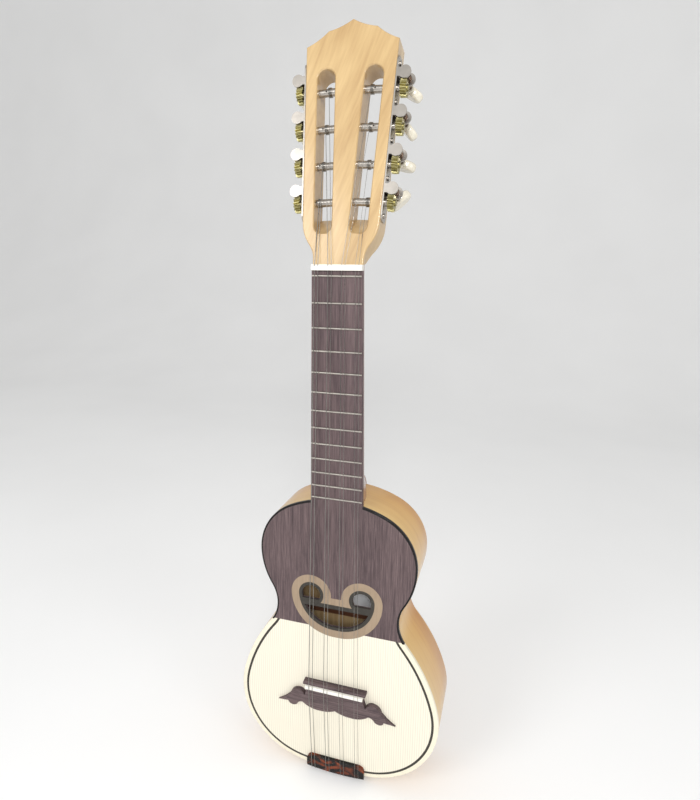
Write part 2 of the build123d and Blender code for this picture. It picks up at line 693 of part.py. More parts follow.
def worm_thread():
    """A single-start thread, as its cross-section turned along the axis."""
    slope = tan(radians(WORM_FLANK))
    middle = WORM_PITCH / 2 - WORM_BACKLASH
    crest = middle - 2 * (WORM_CREST_RADIUS - WORM_PITCH_RADIUS) * slope
    root = middle + 2 * (WORM_PITCH_RADIUS - WORM_ROOT_RADIUS) * slope
    per_mm = 360 / WORM_PITCH
    crest_turn, root_turn = crest / 2 * per_mm, root / 2 * per_mm
    middle_turn = (crest_turn + root_turn) / 2
    middle_radius = (WORM_CREST_RADIUS + WORM_ROOT_RADIUS) / 2

    def crest_at(turn):
        return polar(WORM_CREST_RADIUS, turn)

    def root_at(turn):
        return polar(WORM_ROOT_RADIUS, turn)

    edges = [ThreePointArc(crest_at(-crest_turn), crest_at(0), crest_at(crest_turn)),
             ThreePointArc(crest_at(crest_turn), polar(middle_radius, middle_turn),
                           root_at(root_turn)),
             ThreePointArc(root_at(root_turn), root_at(180), root_at(-root_turn)),
             ThreePointArc(root_at(-root_turn), polar(middle_radius, -middle_turn),
                           crest_at(-crest_turn))]
    turns = WORM_LENGTH * per_mm
    thread = Solid.extrude_linear_with_rotation(make_face(edges).face(), (0, 0, 0),
                                                (0, 0, WORM_LENGTH), turns)
    return Pos(0, 0, -WORM_LENGTH / 2) * (Rot(0, 0, 270 - turns / 2) * thread)


def make_worm(index):
    """The worm, its journals, the collar behind the rear ear and the shaft to the button."""
    front = EAR_GAP / 2 + EAR_THICKNESS - BLIND_EAR_SKIN - END_GAP / 2
    collar_start = -PLATE_HEIGHT / 2 - END_GAP
    collar_radius, collar_length = COLLAR
    shaft_end = button_face() - BUTTON_BORE
    shaft = cylinder_z(JOURNAL_RADIUS, shaft_end, front)
    collar = cylinder_z(collar_radius, collar_start - collar_length, collar_start)
    worm = worm_thread() + shaft + collar
    return at_tuner(index) * (Pos(WORM_X, CENTRE_DISTANCE, 0) * worm)


def button_face():
    """The button's front, measured from the roller's axis."""
    return TUNER_DEPTH - HEAD_THICKNESS - BUTTON_CLEAR


def make_button(index):
    face = button_face()
    plan = Plane(origin=(0, BUTTON_THICKNESS / 2, face - BUTTON_DEPTH / 2),
                 x_dir=(1, 0, 0), z_dir=(0, -1, 0)) * Ellipse(BUTTON_LENGTH / 2, BUTTON_DEPTH / 2)
    oval = extrude(plan, amount=BUTTON_THICKNESS)
    oval = fillet(oval.edges(), BUTTON_ROUND)
    radius, length = BUTTON_FERRULE
    ferrule = cylinder_z(radius, face - BUTTON_THICKNESS / 2, face + length)
    bore = cylinder_z(JOURNAL_RADIUS, face - BUTTON_BORE, face + 2 * length)
    button = Rot(0, 0, BUTTON_ANGLES[index]) * ((oval + ferrule) - bore)
    return at_tuner(index) * (Pos(WORM_X, CENTRE_DISTANCE, 0) * button)


def gear_teeth():
    slope = tan(radians(GEAR_FLANK))
    middle = WORM_PITCH / 2 - GEAR_BACKLASH
    tip = middle - 2 * (GEAR_TIP_RADIUS - GEAR_PITCH_RADIUS) * slope
    root = middle + 2 * (GEAR_PITCH_RADIUS - GEAR_ROOT_RADIUS) * slope
    tip_turn = degrees(tip / 2 / GEAR_TIP_RADIUS)
    root_turn = degrees(root / 2 / GEAR_ROOT_RADIUS)
    points = []
    for tooth in range(GEAR_TEETH):
        turn = tooth * 360 / GEAR_TEETH
        points += [polar(GEAR_ROOT_RADIUS, turn - root_turn), polar(GEAR_TIP_RADIUS, turn - tip_turn),
                   polar(GEAR_TIP_RADIUS, turn + tip_turn), polar(GEAR_ROOT_RADIUS, turn + root_turn)]
    profile = make_face(Polyline(*points, close=True))
    twist = degrees(LEAD * GEAR_WIDTH / GEAR_PITCH_RADIUS)
    teeth = Solid.extrude_linear_with_rotation(profile.face(), (0, 0, 0), (0, 0, GEAR_WIDTH), twist)
    return Rot(0, 0, 180 / GEAR_TEETH - twist / 2) * teeth


def make_gear(index):
    """The toothed wheel on the roller's spindle, and the screw that holds it."""
    end = GEAR_START + GEAR_WIDTH
    wheel = along_x(gear_teeth(), GEAR_START) - cylinder_x(SPINDLE_RADIUS, GEAR_START, end)
    head_radius, head_height, shank_radius, shank_length = GEAR_SCREW
    screw = cylinder_x(head_radius, end, end + head_height)
    screw += cylinder_x(shank_radius, end - shank_length, end)
    slot = block((end + head_height / 2, end + head_height), (-FAR, FAR), (-0.3, 0.3))
    return [at_tuner(index) * wheel, at_tuner(index) * (screw - slot)]


def winding_x(index):
    """Where a string meets its roller, from the centre line."""
    return side_face_x(TUNER_FIRST_U + index * TUNER_PITCH) - STRING_INSETS[index]


def make_roller(index):
    """The string roller, and the turns of string wound on it."""
    inner = -SLOT_INSET - SLOT_WIDTH / 2 - ROLLER_SEAT
    end = GEAR_START + GEAR_WIDTH
    _, _, shank_radius, shank_length = GEAR_SCREW
    roller = cylinder_x(ROLLER_RADIUS, inner, GEAR_START)
    roller += cylinder_x(SPINDLE_RADIUS, GEAR_START, end)
    roller -= cylinder_x(shank_radius, end - shank_length, end)
    place = -STRING_INSETS[index]
    hole_x = place + WINDING_LENGTH / 2 + 2 * STRING_HOLE_RADIUS
    roller -= Pos(hole_x, 0, 0) * cylinder_z(STRING_HOLE_RADIUS, -FAR, FAR)
    start, stop = place - WINDING_LENGTH / 2, place + WINDING_LENGTH / 2
    turns = cylinder_x(ROLLER_RADIUS + WINDING_THICKNESS, start, stop)
    turns -= cylinder_x(ROLLER_RADIUS, start, stop)
    return [at_tuner(index) * roller, at_tuner(index) * turns]


def roller_bore(index):
    inner = -SLOT_INSET - SLOT_WIDTH / 2 - ROLLER_SEAT - END_GAP
    return at_tuner(index) * cylinder_x(ROLLER_RADIUS + RUNNING_GAP, inner, FAR)


def ear(reach):
    """A tab bent out of the plate, round at its end, seen along the worm's axis."""
    middle = WORM_X + reach
    plan = area(0, middle, -EAR_NECK, EAR_NECK) + Pos(middle, 0) * Circle(EAR_HALF_WIDTH)
    return extrude(Pos(0, CENTRE_DISTANCE) * plan, amount=EAR_THICKNESS, dir=(0, 0, 1))


def plate_ends():
    low = SCREW_OFFSET - TUNER_PITCH
    high = SCREW_OFFSET + (TUNERS_PER_SIDE - 1) * TUNER_PITCH
    return low, high


def tuner_plate():
    low, high = plate_ends()
    length = high - low + 2 * PLATE_END
    middle = Plane(origin=(0, (low + high) / 2, ROLLER_Z), x_dir=(0, 1, 0), z_dir=(1, 0, 0))
    flat = extrude(middle * RectangleRounded(length, PLATE_HEIGHT, PLATE_END), PLATE_THICKNESS)
    plate = SIDE_FRAME * flat
    journal = cylinder_z(JOURNAL_RADIUS + RUNNING_GAP, -FAR, EAR_GAP / 2 + EAR_THICKNESS
                         - BLIND_EAR_SKIN)
    for index in range(TUNERS_PER_SIDE):
        ears = Pos(0, 0, EAR_GAP / 2) * ear(FRONT_EAR_REACH)
        ears += Pos(0, 0, -PLATE_HEIGHT / 2) * ear(REAR_EAR_REACH)
        plate += at_tuner(index) * ears
        plate -= at_tuner(index) * (Pos(WORM_X, CENTRE_DISTANCE, 0) * journal)
        plate -= at_tuner(index) * cylinder_x(ROLLER_RADIUS + RUNNING_GAP, -1, PLATE_THICKNESS + 1)
    return HEAD * plate


def plate_screws():
    """Round-headed screws between the tuners, on both sides, in the standing frame of HEAD."""
    head_radius, head_height, shank_radius, shank_length = PLATE_SCREW
    screws = []
    for index in range(TUNERS_PER_SIDE + 1):
        place = SIDE_FRAME * Pos(0, SCREW_OFFSET + (index - 1) * TUNER_PITCH, ROLLER_Z)
        screw = cylinder_x(head_radius, PLATE_THICKNESS, PLATE_THICKNESS + head_height)
        screw += cylinder_x(shank_radius, PLATE_THICKNESS - shank_length, PLATE_THICKNESS)
        screws += [HEAD * part for part in both_sides(place * screw)]
    return screws


def make_tuners():
    for index in range(TUNERS_PER_SIDE):
        pieces = {"button": [make_button(index)], "worm": [make_worm(index)],
                  "gear": make_gear(index), "roller": make_roller(index)}
        for name, solids in pieces.items():
            write(f"{name}_right_{index + 1}", *[HEAD * solid for solid in solids])
            write(f"{name}_left_{index + 1}", *[HEAD * mirrored(solid) for solid in solids])
    plate = tuner_plate()
    screws = plate_screws()
    for screw in screws:
        plate -= screw
    write("tuner_plates", plate, mirrored(plate))
    write("plate_screws", *screws)


# ---------------------------------------------------------------- strings

def string_x(index, courses, pair_gap):
    return courses[index // 2] + (pair_gap / 2 if index % 2 else -pair_gap / 2)


def head_point(x, u, depth):
    """A point of the head's own frame, depth behind its face."""
    return tuple(HEAD.from_local_coords(Vector(x, u, -depth)))


def roller_for(index):
    """The outermost strings go to the lowest rollers."""
    return index if index < TUNERS_PER_SIDE else 2 * TUNERS_PER_SIDE - 1 - index


def string_paths():
    """Corner points of each string's middle line, from the tail pin to its roller."""
    paths = []
    for index, radius in enumerate(STRING_RADII):
        lift = radius + TOUCH_GAP
        tail_x = string_x(index, SADDLE_COURSE_X, SADDLE_PAIR_GAP)
        nut_x = string_x(index, NUT_COURSE_X, NUT_PAIR_GAP)
        outer_y = tail_y(tail_x) - GUARD_SKIN - lift
        saddle = (tail_x, SADDLE_Y, SADDLE_TOP + radius + SADDLE_LIFT)
        fret_top = FRET_CROWN[1] + lift
        nut_y = HEAD_ROOT_Y - 0.4
        run = nut_y / (nut_y - SADDLE_Y)
        zero_x = nut_x + (tail_x - nut_x) * run
        side = 1 if nut_x > 0 else -1
        nut = (nut_x, nut_y, fret_top)
        paths.append([(tail_x, outer_y, PIN_Z + PIN_RADIUS + lift),
                      (tail_x, outer_y, GUARD_HEIGHT + lift), saddle,
                      (zero_x, 0, fret_top), nut,
                      roller_touch(nut, side, roller_for(index), radius)])
    return paths


def roller_touch(nut, side, roller, radius):
    """Where a string from the nut touches the turns on its roller, from the front."""
    local = HEAD.to_local_coords(Vector(*nut))
    u, depth = TUNER_FIRST_U + roller * TUNER_PITCH, TUNER_DEPTH
    reach = ROLLER_RADIUS + WINDING_THICKNESS + WINDING_GAP + radius
    run_u, run_h = u - local.Y, -depth - local.Z
    distance = hypot(run_u, run_h)
    turn = atan2(run_h, run_u) + asin(reach / distance)
    length = sqrt(distance ** 2 - reach ** 2)
    touch_u = local.Y + length * cos(turn)
    touch_h = local.Z + length * sin(turn)
    return head_point(side * winding_x(roller), touch_u, -touch_h)


def path_radius(path):
    return STRING_RADII[string_paths().index(path)]


def strings():
    shapes = []
    for radius, path in zip(STRING_RADII, string_paths()):
        string = rod(path[0], path[1], radius)
        for start, end in zip(path[1:], path[2:]):
            string += Pos(*start) * Sphere(radius + BEND_FULLNESS)
            string += rod(start, end, radius)
        loop = Torus(PIN_RADIUS + radius + TOUCH_GAP, radius + BEND_FULLNESS)
        string += Pos(path[0][0], path[0][1], PIN_Z) * (Rot(90, 0, 0) * loop)
        shapes.append(string)
    return shapes


# ---------------------------------------------------------------- bridge and tail

SADDLE_Y = -SCALE - COMPENSATION
SADDLE_BACK_Y = SADDLE_Y - SADDLE_THICKNESS / 2


def behind_saddle(point):
    return (point[0], SADDLE_Y - point[1])


def bridge_plan():
    """Half of the bridge's plan: the block with two scallops below, and its carved leaf."""
    start, corner = (0, SADDLE_BACK_Y), (BRIDGE_HALF_WIDTH, SADDLE_BACK_Y)
    bows = ((LEAF_TOP, 1.5), (LEAF_BACK, 1.5), (LEAF_TIP, -0.6), (LEAF_NOTCH, -0.3),
            (LEAF_LOBE, 1.0), (LEAF_HEEL, 1.1), (BRIDGE_CORNER, -0.5), (BRIDGE_LOBE, 2.0),
            (BRIDGE_CUSP, 1.0))
    here = behind_saddle(BRIDGE_SHOULDER)
    edges = [Line(start, corner), Line(corner, here)]
    for point, bow in bows:
        there = behind_saddle(point)
        edges.append(SagittaArc(here, there, bow))
        here = there
    return make_face(edges + [Line(here, start)])


def make_bridge():
    top_y, foot_y = SADDLE_BACK_Y, behind_saddle(LEAF_LOBE)[1]
    half = prism(bridge_plan(), 0, BRIDGE_HEIGHT)
    inner = [(0, 0), (0, BRIDGE_HEIGHT), (BRIDGE_HALF_WIDTH, BRIDGE_HEIGHT),
             (BRIDGE_CORNER[0], LEAF_HEIGHT), (LEAF_BACK[0], LEAF_HEIGHT - 0.5),
             (LEAF_TIP[0], LEAF_TIP_HEIGHT), (LEAF_TIP[0] + FAR, LEAF_TIP_HEIGHT), (FAR, 0)]
    profile = make_face(Plane.XZ * Polyline(*inner, close=True))
    crown = extrude(profile, amount=3 * FAR, both=True)
    slope = [(top_y, 0), (top_y, BRIDGE_HEIGHT), (top_y - 4, BRIDGE_HEIGHT),
             (foot_y, 2.2), (foot_y - 1, 0)]
    bevel = extrude(make_face(Plane.YZ * Polyline(*slope, close=True)), amount=FAR, both=True)
    half = half & crown & bevel
    write("bridge", half + mirrored(half))
    width, thickness, height = FRONT_BAR
    saddle_y = (top_y, top_y + SADDLE_THICKNESS)
    bar = block((-width / 2, width / 2), (saddle_y[1], saddle_y[1] + thickness), (0, height))
    bar = chamfer(bar.faces().sort_by(Axis.Z)[-1].edges().filter_by(Axis.X).sort_by(Axis.Y)[-1],
                  0.8)
    write("bridge_front_bar", bar)
    saddle = block((-SADDLE_WIDTH / 2, SADDLE_WIDTH / 2), saddle_y, (0, SADDLE_TOP))
    crest = saddle.faces().sort_by(Axis.Z)[-1].edges().filter_by(Axis.X)
    write("saddle", fillet(crest, SADDLE_ROUND))


def make_guard():
    """An edge guard over the tail's rim: a plate on the face and a thin skin down the end."""
    half = GUARD_WIDTH / 2
    plate = area(-half, half, BODY_TAIL - 20, BODY_TAIL + GUARD_REACH)
    plate = fillet(plate.vertices().group_by(Axis.Y)[-1], GUARD_CORNER)
    guard = prism(outline(-GUARD_SKIN) & plate, -GUARD_DROP, GUARD_HEIGHT)
    write("tail_guard", guard - prism(outline(), -FAR, 0))
    write("tail_pins", *tail_pins())


def tail_pins():
    pins = []
    head_radius, head_length = PIN_HEAD
    for path in string_paths():
        x, y, _ = path[0]
        inner = tail_y(x) + PIN_DEPTH
        head_y = y - PIN_REACH
        pin = rod((x, inner, PIN_Z), (x, head_y, PIN_Z), PIN_RADIUS)
        pins.append(pin + rod((x, head_y, PIN_Z), (x, head_y - head_length, PIN_Z), head_radius))
    return pins


def pin_holes():
    holes = tail_pins()
    whole = holes[0]
    for hole in holes[1:]:
        whole += hole
    return whole


# ---------------------------------------------------------------- build

def main():
    os.makedirs("parts", exist_ok=True)
    make_boards()
    make_bindings()
    make_sides()
    make_inside()
    make_neck()
    make_fingerboard()
    make_head()
    make_tuners()
    make_bridge()
    make_guard()
    write("strings", *strings())


if __name__ == "__main__":
    main()
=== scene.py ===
"""A small four-course instrument: finishes, wound strings, camera and studio around its CAD frame."""
import json
from math import cos, pi, radians, sin

import bpy
from bpy.props import (FloatProperty, FloatVectorProperty, IntProperty, PointerProperty)
from mathutils import Matrix, Vector


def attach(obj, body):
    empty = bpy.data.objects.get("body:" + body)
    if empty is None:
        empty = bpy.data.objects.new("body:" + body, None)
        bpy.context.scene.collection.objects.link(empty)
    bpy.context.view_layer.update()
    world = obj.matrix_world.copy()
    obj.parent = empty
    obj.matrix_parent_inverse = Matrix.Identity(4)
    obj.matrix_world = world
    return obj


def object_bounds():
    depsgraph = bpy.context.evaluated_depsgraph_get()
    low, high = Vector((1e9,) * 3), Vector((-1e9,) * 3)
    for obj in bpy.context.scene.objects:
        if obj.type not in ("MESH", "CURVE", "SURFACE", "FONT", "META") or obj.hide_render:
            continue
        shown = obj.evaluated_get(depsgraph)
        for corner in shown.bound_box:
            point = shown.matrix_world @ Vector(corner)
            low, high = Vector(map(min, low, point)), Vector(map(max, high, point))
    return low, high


bl_info = {
    "name": "Four-course instrument",
    "version": (1, 0, 0),
    "blender": (4, 5, 0),
    "location": "3D View > Sidebar > Instrument",
    "description": "Finishes and studio for a small instrument with geared tuners",
    "category": "Object",
}

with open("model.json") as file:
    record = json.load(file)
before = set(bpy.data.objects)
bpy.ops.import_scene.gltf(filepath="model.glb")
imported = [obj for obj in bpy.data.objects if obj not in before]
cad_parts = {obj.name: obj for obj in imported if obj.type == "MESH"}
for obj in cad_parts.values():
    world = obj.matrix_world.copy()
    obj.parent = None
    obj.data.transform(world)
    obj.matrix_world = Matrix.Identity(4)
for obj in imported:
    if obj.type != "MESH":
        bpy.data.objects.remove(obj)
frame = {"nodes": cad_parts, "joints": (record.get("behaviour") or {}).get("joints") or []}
CAD_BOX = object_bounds()
NODES = frame["nodes"]
JOINTS = {joint["name"]: joint for joint in frame["joints"]}
SIDES = ("left", "right")
TUNERS = range(1, 5)
STRING_INSETS = (0.0113, 0.0132, 0.0148, 0.0166)    # from the head's side face to each winding
LEAST_WINDING_FACES = 100
CAMERA_ACROSS = (0.95760, 0.28812, 0.00813)
CAMERA_AHEAD = (-0.27809, 0.93090, -0.23681)
FLOOR_FRONT = -3.0
FLOOR_HALF_WIDTH = 4.0
FLOOR_BEND = 1.2            # radius of the bend from the floor up to the wall behind
WALL_TOP = 4.0


# ---------------------------------------------------------------- settings

def colour(label, note, value):
    return FloatVectorProperty(name=label, description=note, subtype="COLOR", size=3,
                               min=0.0, max=1.0, default=value)


class WoodSettings(bpy.types.PropertyGroup):
    """Colours of the woods."""
    spruce: colour("Spruce", "Pale wood of the lower soundboard", (0.80, 0.75, 0.62))
    spruce_line: colour("Spruce line", "Darker growth lines of the soundboard", (0.50, 0.46, 0.38))
    wenge_light: colour("Wenge light", "Light streaks of the dark woods", (0.185, 0.130, 0.130))
    wenge_dark: colour("Wenge dark", "Dark streaks of the dark woods", (0.028, 0.018, 0.022))
    ring: colour("Ring", "Broad ring round the sound hole", (0.34, 0.25, 0.165))
    ring_dark: colour("Ring dark", "Darker grain of the ring", (0.24, 0.17, 0.11))
    head_light: colour("Head light", "Light figure of the head", (0.60, 0.425, 0.205))
    head_dark: colour("Head dark", "Dark figure of the head", (0.36, 0.21, 0.08))
    side_light: colour("Side light", "Light grain of the ribs", (0.60, 0.33, 0.085))
    side_dark: colour("Side dark", "Dark grain of the ribs", (0.36, 0.115, 0.018))
    side_front: colour("Side front", "Pale honey of the ribs' front edge", (0.66, 0.43, 0.15))
    neck_light: colour("Neck light", "Light grain of the neck", (0.30, 0.12, 0.055))
    neck_dark: colour("Neck dark", "Dark grain of the neck", (0.15, 0.055, 0.025))
    inner_light: colour("Inner light", "Bare wood inside the body", (0.62, 0.44, 0.23))
    inner_dark: colour("Inner dark", "Darker grain inside the body", (0.42, 0.27, 0.13))
    edging: colour("Edging", "Dark edging round the sound hole", (0.050, 0.045, 0.038))
    line_spacing: FloatProperty(name="Growth line spacing", unit="LENGTH", default=0.0019,
                                min=0.0005, max=0.01,
                                description="Distance between the soundboard's growth lines")


class HardwareSettings(bpy.types.PropertyGroup):
    """Colours of the metal, plastic and bone, and the sizes of the string windings."""
    nickel: colour("Nickel", "Plates, rollers and frets", (0.50, 0.465, 0.42))
    brass: colour("Brass", "Gear wheels", (0.44, 0.395, 0.19))
    bronze: colour("Bronze", "Worms and collars", (0.12, 0.075, 0.05))
    pearl: colour("Pearl", "Tuner buttons", (0.80, 0.75, 0.62))
    bone: colour("Bone", "Nut and saddle", (0.84, 0.82, 0.75))
    cream: colour("Cream", "Binding of the lower body", (0.80, 0.74, 0.58))
    string_metal: colour("String", "Plain steel strings", (0.30, 0.29, 0.27))
    turns: IntProperty(name="Turns", default=6, min=1, max=12,
                       description="Turns of string on each roller")
    wire: FloatProperty(name="Wire radius", unit="LENGTH", default=0.00022, min=0.0001, max=0.0005,
                        description="Radius of the string where it is wound")
    winding_radius: FloatProperty(name="Winding radius", unit="LENGTH", default=0.00306,
                                  min=0.001, max=0.01,
                                  description="From the roller's axis to the wound string's middle")
    winding_length: FloatProperty(name="Winding length", unit="LENGTH", default=0.0022,
                                  min=0.0005, max=0.01, description="Length of the wound part")


class StudioSettings(bpy.types.PropertyGroup):
    """The camera and lights."""
    camera_place: FloatVectorProperty(name="Camera place", subtype="TRANSLATION", unit="LENGTH",
                                      size=3, default=(0.12155, -0.37230, 0.00666),
                                      description="Where the camera stands")
    lens: FloatProperty(name="Lens", default=24.68, min=5.0, max=200.0,
                        description="Focal length in millimetres on a 36 mm frame")
    floor_drop: FloatProperty(name="Floor drop", unit="LENGTH", default=0.0010, min=0.0, max=1.0,
                              description="From the instrument's tail down to the floor")
    floor_tone: colour("Floor", "Colour of the floor", (0.95, 0.95, 0.945))
    key_power: FloatProperty(name="Key light", unit="POWER", default=8.5, min=0.0, max=500.0,
                             description="Power of the large light at the upper left")
    fill_power: FloatProperty(name="Fill light", unit="POWER", default=2.5, min=0.0, max=500.0,
                              description="Power of the light at the right")
    front_power: FloatProperty(name="Front light", unit="POWER", default=10.0, min=0.0, max=500.0,
                               description="Power of the light beside the camera")
    sky: FloatProperty(name="Sky", default=0.62, min=0.0, max=10.0,
                       description="Strength of the even white light all round")


# ---------------------------------------------------------------- material building

class Shader:
    """A node material that is written from left to right."""

    def __init__(self, name):
        self.material = bpy.data.materials.new(name)
        self.material.use_nodes = True
        self.nodes = self.material.node_tree.nodes
        self.links = self.material.node_tree.links
        self.surface = self.nodes["Principled BSDF"]
        self.place = self.add("ShaderNodeTexCoord").outputs["Object"]

    def add(self, kind, **settings):
        node = self.nodes.new(kind)
        for key, value in settings.items():
            setattr(node, key, value)
        return node

    def stretched(self, scale, turn=(0, 0, 0), shift=(0, 0, 0)):
        turned = self.add("ShaderNodeMapping")
        self.links.new(self.place, turned.inputs["Vector"])
        turned.inputs["Rotation"].default_value = turn
        mapping = self.add("ShaderNodeMapping")
        self.links.new(turned.outputs["Vector"], mapping.inputs["Vector"])
        mapping.inputs["Scale"].default_value = scale
        mapping.inputs["Location"].default_value = shift
        return mapping.outputs["Vector"]

    def along(self, axis, start, stop):
        """0 to 1 from one place on an axis of the frame to another, in metres."""
        split = self.add("ShaderNodeSeparateXYZ")
        self.links.new(self.place, split.inputs["Vector"])
        return self.spread(split.outputs[axis], 0.0, 1.0, start, stop)

    def facing(self, axis, start, stop):
        """0 to 1 as the surface normal's part along an axis goes from start to stop."""
        split = self.add("ShaderNodeSeparateXYZ")
        turn = self.add("ShaderNodeTexCoord").outputs["Normal"]
        self.links.new(turn, split.inputs["Vector"])
        return self.spread(split.outputs[axis], 0.0, 1.0, start, stop)

    def noise(self, vector, scale=1.0, detail=4.0, roughness=0.55, distortion=0.0):
        node = self.add("ShaderNodeTexNoise")
        self.links.new(vector, node.inputs["Vector"])
        for key, value in (("Scale", scale), ("Detail", detail), ("Roughness", roughness),
                           ("Distortion", distortion)):
            node.inputs[key].default_value = value
        return node.outputs["Fac"]

    def lines(self, vector, spacing, distortion=0.0, along="X"):
        """Soft parallel lines a distance apart."""
        node = self.add("ShaderNodeTexWave", bands_direction=along, wave_profile="SIN")
        self.links.new(vector, node.inputs["Vector"])
        node.inputs["Scale"].default_value = 2 * pi / (20 * spacing)
        node.inputs["Distortion"].default_value = distortion
        node.inputs["Detail"].default_value = 2.0
        return node.outputs["Fac"]

    def ramp(self, value, *stops):
        """Colours by value; each stop is (place, colour)."""
        node = self.add("ShaderNodeValToRGB")
        elements = node.color_ramp.elements
        while len(elements) < len(stops):
            elements.new(0.5)
        for element, (place, tone) in zip(elements, stops):
            element.position = place
            element.color = tuple(tone)[:3] + (1.0,)
        self.links.new(value, node.inputs["Fac"])
        return node.outputs["Color"]

    def spread(self, value, low, high, start=0.0, stop=1.0):
        node = self.add("ShaderNodeMapRange")
        self.links.new(value, node.inputs["Value"])
        for key, number in (("From Min", start), ("From Max", stop), ("To Min", low),
                            ("To Max", high)):
            node.inputs[key].default_value = number
        return node.outputs["Result"]

    def blend(self, first, second, share, mode="MIX"):
        """Mix two colours, each a socket or a plain colour, by a share that is either too."""
        node = self.add("ShaderNodeMix", data_type="RGBA", blend_type=mode)
        for socket, value in ((node.inputs["Factor"], share), (node.inputs[6], first),
                              (node.inputs[7], second)):
            if isinstance(value, bpy.types.NodeSocket):
                self.links.new(value, socket)
            else:
                socket.default_value = (value if isinstance(value, float)
                                        else tuple(value)[:3] + (1.0,))
        return node.outputs[2]

    def set(self, **numbers):
        for key, value in numbers.items():
            self.surface.inputs[key.replace("_", " ")].default_value = value
        return self

    def paint(self, tone):
        self.links.new(tone, self.surface.inputs["Base Color"])
        return self

    def polish(self, value, low, high):
        self.links.new(self.spread(value, low, high), self.surface.inputs["Roughness"])
        return self

    def relief(self, value, depth):
        """Raise the surface by up to a depth, in metres, as fine bump."""
        node = self.add("ShaderNodeBump")
        node.inputs["Distance"].default_value = depth
        node.inputs["Strength"].default_value = 1.0
        self.links.new(value, node.inputs["Height"])
        self.links.new(node.outputs["Normal"], self.surface.inputs["Normal"])
        return self


def wood(name, dark, light, grain, figure=(9, 9, 9), turn=(0, 0, 0), coat=0.0, rough=0.4,
         depth=0.00002, pores=0.25, shine=0.5):
    """Streaked wood: fine grain, pores and a slow change of tone."""
    shader = Shader(name)
    run = shader.stretched(grain, turn)
    streaks = shader.noise(run, 1.0, 5.0, 0.62, 0.25)
    slow = shader.noise(shader.stretched(figure, turn, (0.3, 0.1, 0.7)), 1.0, 3.0, 0.5, 0.6)
    tone = shader.ramp(streaks, (0.30, dark), (0.52, shaded(dark, light, 0.6)), (0.74, light))
    warm = shader.ramp(slow, (0.32, shaded(dark, light, 0.25)), (0.70, light))
    tone = shader.blend(tone, warm, 0.42)
    fine = shader.noise(shader.stretched([4 * part for part in grain], turn), 1.0, 3.0, 0.7)
    pore = shader.spread(fine, 0.0, pores, 0.56, 0.70)
    shader.paint(shader.blend(tone, shaded((0, 0, 0), dark, 0.5), pore))
    shader.polish(streaks, rough + 0.08, rough - 0.06)
    shader.relief(fine, depth)
    shader.set(Coat_Weight=coat, Coat_Roughness=0.09, Specular_IOR_Level=shine)
    return shader.material


def shaded(first, second, share):
    return tuple(a + (b - a) * share for a, b in zip(first, second))


def rib_wood(woods):
    """Bent ribs: honey at the front edge, deeper orange brown towards the back."""
    shader = Shader("rib maple")
    dark, light = woods.side_dark, woods.side_light
    grain = shader.noise(shader.stretched((9, 300, 9)), 1.0, 5.0, 0.6, 0.3)
    cloud = shader.noise(shader.stretched((16, 34, 16)), 1.0, 3.0, 0.5, 0.5)
    depth = shader.along("Y", 0.004, 0.062)
    tone = shader.ramp(depth, (0.0, woods.side_front), (0.45, light), (1.0, dark))
    tone = shader.blend(tone, shaded(dark, light, 0.4), shader.spread(grain, 0.0, 0.45, 0.45, 0.75))
    shader.paint(shader.blend(tone, woods.side_front, shader.spread(cloud, 0.0, 0.4, 0.45, 0.75)))
    shader.polish(grain, 0.34, 0.26)
    shader.relief(grain, 0.000008)
    return shader.set(Coat_Weight=0.4, Coat_Roughness=0.08).material


def back_wood(woods):
    """The back: lacquered outside, bare wood on the face inside the body."""
    shader = Shader("back maple")
    dark, light = woods.side_dark, woods.side_light
    grain = shader.noise(shader.stretched((330, 330, 9)), 1.0, 5.0, 0.6, 0.3)
    flame = shader.noise(shader.stretched((12, 12, 90), shift=(0.3, 0.0, 0.1)), 1.0, 3.0, 0.5, 0.6)
    outside = shader.ramp(grain, (0.32, shaded(dark, light, 0.2)), (0.62, light))
    outside = shader.blend(outside, woods.side_front, shader.spread(flame, 0.0, 0.45, 0.4, 0.75))
    inside = shader.ramp(grain, (0.32, woods.inner_dark), (0.62, woods.inner_light))
    shader.paint(shader.blend(outside, inside, shader.facing("Y", -0.3, -0.6)))
    shader.polish(grain, 0.36, 0.28)
    shader.relief(grain, 0.000008)
    return shader.set(Coat_Weight=0.4, Coat_Roughness=0.08).material


def figured_head(woods):
    """Honey wood whose light and dark figure runs up to the right across the head."""
    shader = Shader("figured head wood")
    dark, light = woods.head_dark, woods.head_light
    lean = (0, radians(-19), 0)
    broad = shader.noise(shader.stretched((150, 60, 14), lean), 1.0, 3.0, 0.55, 0.5)
    narrow = shader.noise(shader.stretched((560, 200, 16), lean), 1.0, 5.0, 0.6, 0.2)
    slow = shader.noise(shader.stretched((34, 30, 10), lean, (0.4, 0.2, 0.1)), 1.0, 2.0)
    tone = shader.ramp(broad, (0.34, shaded(dark, light, 0.35)), (0.50, shaded(dark, light, 0.75)),
                       (0.62, light))
    thin = shader.ramp(narrow, (0.36, shaded(dark, light, 0.2)), (0.62, light))
    tone = shader.blend(tone, thin, 0.40)
    warm = shader.ramp(slow, (0.38, shaded(dark, light, 0.15)), (0.62, light))
    shader.paint(shader.blend(tone, warm, 0.35))
    shader.polish(narrow, 0.36, 0.28)
    shader.relief(narrow, 0.000008)
    return shader.set(Coat_Weight=0.5, Coat_Roughness=0.10).material


